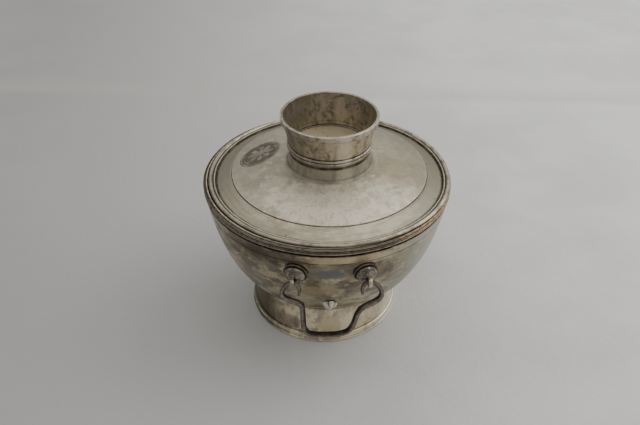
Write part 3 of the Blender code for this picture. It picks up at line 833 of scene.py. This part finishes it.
def make_collar(metal):
    outer = bezier((COLLAR_TOP_RADIUS, COLLAR_TOP_Z - 0.25), (29.2, 140.6), (26.6, 134.0),
                   (COLLAR_BASE_RADIUS, COLLAR_LOW_Z), 40)
    profile = [*sheet_outline(outer, LID_SHEET), (COLLAR_TOP_RADIUS - LID_SHEET + 0.25, COLLAR_TOP_Z),
               (COLLAR_TOP_RADIUS - 0.25, COLLAR_TOP_Z)]
    marks = [((29.4, COLLAR_BAND_LOW_Z), 1.2, 1.0), ((COLLAR_BASE_RADIUS + 0.2, COLLAR_BEAD_Z[1]), 1.2, 1.0),
             ((COLLAR_BASE_RADIUS - LID_SHEET, COLLAR_LOW_Z), 1.4, 1.0),
             ((COLLAR_TOP_RADIUS, COLLAR_TOP_Z), 0.8, -0.9)]
    obj = turned("collar_sheet", profile, metal, marks, center_x=LID_X)
    place_piece(obj, "lid", "collar_wall")

    low, high = COLLAR_BEAD_Z
    start = COLLAR_BASE_RADIUS + 0.25
    size = (COLLAR_BEAD_RADIUS - start, (high - low) / 4)
    bead = arc((start, high - size[1]), size, 88, -70, 10) + arc((start, low + size[1]), size, 70, -88, 10)
    marks = [((start + 0.6, (low + high) / 2), 0.6, 1.0), ((COLLAR_BEAD_RADIUS, high - size[1]), 0.5, -0.45),
             ((COLLAR_BEAD_RADIUS, low + size[1]), 0.5, -0.3), ((start, high), 0.6, 0.8),
             ((start, low), 0.7, 0.9)]
    obj = turned("collar_double_bead", bead, metal, marks, center_x=LID_X)
    place_piece(obj, "lid", "collar_foot_bead")

    low, high = COLLAR_BAND_LOW_Z, COLLAR_TOP_Z
    inner = COLLAR_TOP_RADIUS - 0.1
    band = [(inner, high), *arc((COLLAR_BAND_RADIUS - 0.45, high - 0.45), (0.45, 0.45), 90, 0, 6),
            *arc((COLLAR_BAND_RADIUS - 0.5, low + 0.3), (0.3, 0.3), 0, -90, 4), (inner - 0.4, low)]
    marks = [((COLLAR_BAND_RADIUS - 0.3, high), 0.8, -1.0), ((COLLAR_BAND_RADIUS - 0.5, low), 0.6, 1.0)]
    obj = turned("collar_lip", band, metal, marks, center_x=LID_X)
    return place_piece(obj, "lid", "collar_lip_band")


# A plain oval rosette pressed into the lid's left side, its long axis turned from X
ROSETTE_CENTER = Vector((-43.4, 12.4))
ROSETTE_RADIUS = 10.0
ROSETTE_LENGTHS = (1.75, 1.06)
ROSETTE_TURN = math.radians(55)
ROSETTE_PETALS = 8
ROSETTE_SUNK = 0.22  # its ground is this far under its edge
ROSETTE_BACK = 0.6  # and its back this far under the lid's surface


def rosette_height(distance, angle):
    """The rosette's relief at a place in it, from 0 in the ground to about 0.5."""
    height = 0.40 * fall(abs(distance - ROSETTE_RADIUS + 0.7), 0.6)
    height = max(height, 0.22 * fall(abs(distance - ROSETTE_RADIUS + 2.0), 0.4))
    petal = abs(math.cos(ROSETTE_PETALS / 2 * angle))
    reach = 2.2 + 4.6 * petal ** 0.6
    inside = min(max((reach - distance) / 0.9, 0.0), 1.0)
    vein = fall(1 - petal, 0.03)
    if distance > 1.8:
        height = max(height, (0.42 - 0.2 * vein) * inside * petal)
    return max(height, 0.5 * math.sqrt(max(0.0, 1 - (distance / 1.7) ** 2)))


def lid_height(x, y):
    """The lid's outer height at a place on its dome."""
    return interpolate(DOME, math.hypot(x - LID_X, y))


def make_rosette(metal):
    rings, spokes = 44, 192
    points, dirt_and_painted_light_values = [], []
    for low in (False, True):
        for i in range(rings + 1):
            distance = ROSETTE_RADIUS * (i / rings)
            for j in range(spokes if i else 1):
                angle = 2 * math.pi * j / spokes
                spot = Vector((distance * math.cos(angle) * ROSETTE_LENGTHS[0],
                               distance * math.sin(angle) * ROSETTE_LENGTHS[1]))
                spot.rotate(Matrix.Rotation(ROSETTE_TURN, 2))
                x, y = ROSETTE_CENTER + spot
                relief = rosette_height(distance, angle)
                edge = fall(ROSETTE_RADIUS - distance, 0.5)
                top = relief - ROSETTE_SUNK * (1 - edge) + 0.1 - 0.1 * edge
                lift = -ROSETTE_BACK if low else max(top, 0.04) if i < rings else -0.05
                points.append((x, y, lid_height(x, y) + lift))
                # tarnish with painted shade in the sunk ground, and wear with painted highlights on the
                # raised relief
                dirt_and_painted_light_values.append(0.0 if low else 0.95 - 2.6 * relief)
    side = 1 + rings * spokes
    faces = []
    for base, turn in ((0, 1), (side, -1)):
        for j in range(spokes):
            k = (j + 1) % spokes
            faces.append([base, base + 1 + j, base + 1 + k][::turn])
            for i in range(rings - 1):
                first = base + 1 + i * spokes
                faces.append([first + j, first + spokes + j, first + spokes + k, first + k][::turn])
    outer = 1 + (rings - 1) * spokes
    for j in range(spokes):
        k = (j + 1) % spokes
        faces.append([outer + j, side + outer + j, side + outer + k, outer + k])
    obj = finish_mesh("lid_rosette", points, faces, dirt_and_painted_light_values, metal)
    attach(obj, "lid")
    return obj


# ---- handles

EYE_REACH = (math.hypot(EYE_X, HINGE_Y) - wall_radius(BOSS_Z)) / math.cos(wall_tilt(BOSS_Z))


def make_eye(name, side, place, turn, metal):
    """One wire: down a leg inside the bowl, out through the wall, round the eye, and back likewise."""
    inside = -(SHEET + INNER_STANDOFF + EYE_WIRE)
    leg = [(LEG_OFFSET + LEG_SPREAD, inside), (LEG_OFFSET + 4.0, inside), (LEG_OFFSET + 1.2, inside + 0.1),
           (LEG_OFFSET, inside + 1.2), (LEG_OFFSET, 0.0), (LEG_OFFSET, EYE_REACH - 4.6)]
    upper = [place @ Vector((0.0, height, reach)) for height, reach in leg]
    lower = [place @ Vector((0.0, -height, reach)) for height, reach in reversed(leg)]
    tilt = wall_tilt(BOSS_Z)
    middle = Vector((side * EYE_X, -HINGE_Y, HINGE.z))
    out = Vector((0.0, -math.cos(tilt), -math.sin(tilt)))
    up = Vector((0.0, -math.sin(tilt), math.cos(tilt)))
    loop = [middle + out * x + up * y for x, y in arc((0, 0), [EYE_HOLE + EYE_WIRE] * 2, 140, -140, 14)]
    path = smooth_path(upper + loop + lower, 3)
    total = len(path) - 1
    radii = [EYE_WIRE * (0.8 + 0.2 * min(1.0, 8 * min(i, total - i) / total)) for i in range(total + 1)]
    across = (turn.to_3x3() @ place.to_3x3() @ Vector((1, 0, 0))).normalized()
    path = [turn @ spot for spot in path]
    core = turn @ middle

    # round the eye, wear with a painted highlight on the loop's outer face and painted shade on its inner
    # face; elsewhere a little dirt with painted shade
    def dirt_and_painted_light(spot, outward):
        from_core = spot - core
        near = from_core.length < 2 * EYE_HOLE + 2 * EYE_WIRE
        return (-0.9 if outward.dot(from_core.normalized()) > 0.2 else 0.5) if near else 0.3

    obj = tube(name + "_eye", path, radii, metal, 2.6, across, 16, dirt_and_painted_light, EYE_STRIP)
    return place_piece(obj, "bowl", name + "_split_eye")


def make_boss(name, side, turn, boss_metal, washer_metal, eye_metal):
    """A washer, a domed boss on it and the split-pin eye through both."""
    place = wall_frame(math.atan2(side * EYE_X, HINGE_Y), BOSS_Z)
    small = {"closed": False, "place": turn @ place, "steps": SMALL_STEPS}
    disc = [(0.0, BOSS_BASE), (BOSS_RADIUS, BOSS_BASE), (WASHER_RADIUS - 0.8, 1.25),
            *arc((WASHER_RADIUS - 0.6, 0.7), (0.6, 0.55), 90, -60, 6),
            (WASHER_RADIUS - 1.0, 0.05), (0.0, 0.05)]
    marks = [((BOSS_RADIUS + 0.1, BOSS_BASE), 0.7, 1.0), ((WASHER_RADIUS, 0.7), 0.5, -0.6)]
    washer = turned(name + "_disc", disc, washer_metal, marks, **small)
    place_piece(washer, "bowl", name + "_washer")
    dome = [*arc((0.0, 1.9), (BOSS_RADIUS, BOSS_HEIGHT - 0.3), 90, 0, 18),
            (BOSS_RADIUS - 0.25, 1.3), (0.0, 1.3)]
    dome = [(radius, z + 0.25 * fall(abs(radius - 1.9), 0.9)) for radius, z in dome]
    marks = [((BOSS_RADIUS, 1.6), 0.9, 0.9), ((2.9, 5.2), 0.8, -0.5), ((1.2, 5.6), 0.9, 0.8)]
    boss = turned(name + "_dome", dome, boss_metal, marks, **small)
    place_piece(boss, "bowl", name + "_boss")
    make_eye(name, side, place, turn, eye_metal)


def make_bail(place_name, turn, metal):
    """A drop handle of squarish wire, with painted shade on the side that faces into its loop and a painted
    highlight on the side that faces away from the bowl.
    """
    route = smooth_path([(x, 0.0, z) for x, z in BAIL_LEFT + BAIL_RIGHT[::-1]], 7)
    travelled = [0.0]
    for a, b in zip(route, route[1:]):
        travelled.append(travelled[-1] + (b - a).length)
    radii = [interpolate(BAIL_RADII, min(s, travelled[-1] - s)) for s in travelled]
    radii = [r * (0.94 + 0.09 * noise.noise(Vector((s / 4.0, 3.1, 0.0)))) for r, s in zip(radii, travelled)]
    hinge = Vector((0.0, -HINGE_Y, HINGE.z))
    heart = turn @ (hinge + Vector((0.0, 0.0, -22.0)))
    outward = turn.to_3x3() @ Vector((0.0, -1.0, 0.0))
    path = [turn @ (hinge + spot) for spot in route]

    # painted shade where the wire faces into its loop, and wear with a painted highlight where it faces away
    # from the bowl
    def dirt_and_painted_light(spot, out):
        facing = out.dot((heart - spot).normalized())
        return max(-0.5, 1.1 * facing) if facing > 0.35 else -0.35 * max(0.0, out.dot(outward))

    obj = tube(place_name + "_wire_handle", path, radii, metal, 3.2, outward, 24, dirt_and_painted_light)
    return place_piece(obj, place_name + "_handle", place_name + "_bail")


def make_stud(name, turn, metal):
    """A domed head of round petals with a bead in the middle, on a short shank through the wall."""
    inside = -(SHEET + INNER_STANDOFF)
    rings, steps = 16, 70
    place = turn @ wall_frame(0.0, STUD_Z)
    shank = [(STUD_SHANK, 0.1), (STUD_SHANK, inside), (2.4, inside), (2.5, inside - 0.4),
             (2.2, inside - 0.9), (0.0, inside - 0.9)]
    points, dirt_and_painted_light_values, loops = [], [], []

    def add_loop(radius_height_dirt_and_painted_light, count):
        first = len(points)
        loops.append([first + j % count for j in range(steps)])
        for j in range(count):
            angle = 2 * math.pi * j / steps
            radius, z, dirt_and_painted_light = radius_height_dirt_and_painted_light(angle)
            points.append(place @ Vector((radius * math.cos(angle), radius * math.sin(angle), z)))
            dirt_and_painted_light_values.append(dirt_and_painted_light)

    for i in range(rings + 1):
        share = i / rings

        # each ring's radius and height, with painted shade between the petals and wear with painted
        # highlights on them
        def petalled(angle):
            lobe = abs(math.cos(STUD_PETALS / 2 * angle)) ** 0.7
            radius = 1.06 * STUD_RADIUS * share * (1 - 0.2 * share * (1 - lobe))
            dome = 0.35 + (STUD_HEIGHT - 0.9) * max(0.0, 1 - share ** 2.6) ** 0.5 * (0.74 + 0.26 * lobe)
            bead = 0.6 * math.sqrt(max(0.0, 1 - (share / 0.3) ** 2))
            return radius, dome + bead, 0.9 * (1 - lobe) * min(1.0, share * 2) - 0.8 * lobe

        add_loop(petalled, steps if share else 1)
    for radius, z in shank:
        add_loop(lambda angle: (radius, z, 0.6), steps if radius else 1)
    faces = round_faces(zip(loops, loops[1:]), steps)
    obj = finish_mesh(name + "_flower", points, faces, dirt_and_painted_light_values, metal, STUD_SHARP)
    return place_piece(obj, "bowl", name + "_flower_stud")


# ---- the stage

def area_light(name, location, target, size, power, color):
    data = bpy.data.lights.new(name, "AREA")
    data.shape = "RECTANGLE"
    data.size, data.size_y = size
    data.energy = power
    data.color = color
    light = bpy.data.objects.new(name, data)
    light.location = location
    light.rotation_euler = (Vector(target) - Vector(location)).to_track_quat("-Z", "Y").to_euler()
    return link(light)


FLOOR_REACH = 6  # metres each way, as the light's place and size are
KEY_PLACE, KEY_TARGET, KEY_SIZE = (1.0, 0.3, 0.9), (0, 0, 0.08), (1.2, 1.2)
KEY_POWER, KEY_COLOR = 6, (1.0, 0.99, 0.97)
ROOM_COLOR = (1.0, 0.985, 0.96, 1.0)
ROOM_LEVEL, ROOM_SEEN = 0.90, 0.40  # the room's brightness as a light, and as the camera sees it
# How bright the room is along each axis of the view direction: (axis, low, high, at low, at high)
ROOM_BY_HEIGHT = ("Z", 0.1, 0.75, 0.32, 1.0)  # dimmer near the floor,
ROOM_BY_DEPTH = ("Y", -0.8, 0.0, 0.58, 1.0)  # behind the camera
ROOM_BY_SIDE = ("X", -0.7, 0.3, 0.85, 1.0)  # and at the left
SEAM_Y, SEAM_TURN = 317.0, 0.066  # a faint band painted on the flat floor in place of a backdrop's bend from table to wall and the change of light there


def make_stage():
    paper = Metal("backdrop_paper", (0.46, 0.46, 0.455), 0.9)
    paper.shader.inputs["Metallic"].default_value = 0.0
    # painted light: the paper brightens from left to right, as the key light's falloff would
    paper.layer((0.96, 0.96, 0.955), 0.9, paper.side((1, 0.1, 0), -340, 340))
    paper.layer((0.55, 0.55, 0.54), 0.9, paper.blotches(90.0, 0.35, 0.7, 4.0), 0.3)
    beyond = paper.side((SEAM_TURN, 1, 0), SEAM_Y - 14, SEAM_Y + 3)
    near = paper.side((SEAM_TURN, 1, 0), SEAM_Y + 45, SEAM_Y)
    paper.layer((0.62, 0.61, 0.55), 0.9, beyond, near, 0.35)
    material = paper.done(0.15, 6.0)
    mesh = bpy.data.meshes.new("floor")
    far = FLOOR_REACH
    mesh.from_pydata([(-far, -far, 0), (far, -far, 0), (far, far, 0), (-far, far, 0)], [], [(0, 1, 2, 3)])
    mesh.materials.append(material)
    link(bpy.data.objects.new("floor", mesh))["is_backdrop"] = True
    make_room_light()
    area_light("key", KEY_PLACE, KEY_TARGET, KEY_SIZE, KEY_POWER, KEY_COLOR)


def make_room_light():
    """A soft room, dim behind the camera and bright behind the object. The camera sees a plain grey."""
    world = bpy.data.worlds.new("room")
    world.use_nodes = True
    nodes, links = world.node_tree.nodes, world.node_tree.links
    direction = nodes.new("ShaderNodeTexCoord")
    axes = nodes.new("ShaderNodeSeparateXYZ")
    links.new(direction.outputs["Generated"], axes.inputs[0])
    level = None
    for axis, *numbers in (ROOM_BY_HEIGHT, ROOM_BY_DEPTH, ROOM_BY_SIDE):
        eased = nodes.new("ShaderNodeMapRange")
        eased.interpolation_type = "SMOOTHSTEP"
        links.new(axes.outputs[axis], eased.inputs["Value"])
        for socket, number in zip(list(eased.inputs)[1:], numbers):
            socket.default_value = number
        product = nodes.new("ShaderNodeMath")
        product.operation = "MULTIPLY"
        product.inputs[0].default_value = ROOM_LEVEL
        if level:
            links.new(level, product.inputs[0])
        links.new(eased.outputs[0], product.inputs[1])
        level = product.outputs[0]
    path = nodes.new("ShaderNodeLightPath")
    seen = nodes.new("ShaderNodeMix")
    seen.data_type = "FLOAT"
    links.new(path.outputs["Is Camera Ray"], seen.inputs[0])
    links.new(level, seen.inputs[2])
    seen.inputs[3].default_value = ROOM_SEEN
    background = nodes["Background"]
    background.inputs["Color"].default_value = ROOM_COLOR
    links.new(seen.outputs[0], background.inputs["Strength"])
    bpy.context.scene.world = world


# ---- all of it

make_camera()
make_stage()
bowl_look = bowl_metal()
make_bowl(bowl_look)
make_rim(rim_metal())
make_foot(foot_metal())
make_lid(lid_metal(), bead_metal(), bowl_look)
make_collar(collar_metal())
make_rosette(rosette_metal())
boss_look = fitting_metal("dark_boss_metal", (0.28, 0.245, 0.20), (0.74, 0.70, 0.60), 0.95, 0.27)
washer_look = fitting_metal("washer_metal", (0.18, 0.155, 0.125), (0.38, 0.34, 0.27))
eye_look = fitting_metal("eye_metal", (0.215, 0.18, 0.145), (0.60, 0.53, 0.43), 0.85)
bail_look = fitting_metal("bail_wire_metal", (0.165, 0.14, 0.118), (0.47, 0.41, 0.345), 0.85)
stud_look = fitting_metal("stud_metal", (0.90, 0.83, 0.69), (0.98, 0.94, 0.83), 0.5)
for place_name, half_turns in (("front", 0), ("rear", 1)):
    turn = Matrix.Rotation(half_turns * math.pi, 4, "Z")
    for side in (-1, 1):
        hand = "left" if (side < 0) == (half_turns == 0) else "right"
        make_boss(f"{place_name}_{hand}", side, turn, boss_look, washer_look, eye_look)
    make_bail(place_name, turn, bail_look)
    make_stud(place_name, turn, stud_look)

boxes = {"cad": CAD_BOX, "visual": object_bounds()}
{name: [list(corner) for corner in box] for name, box in boxes.items()}
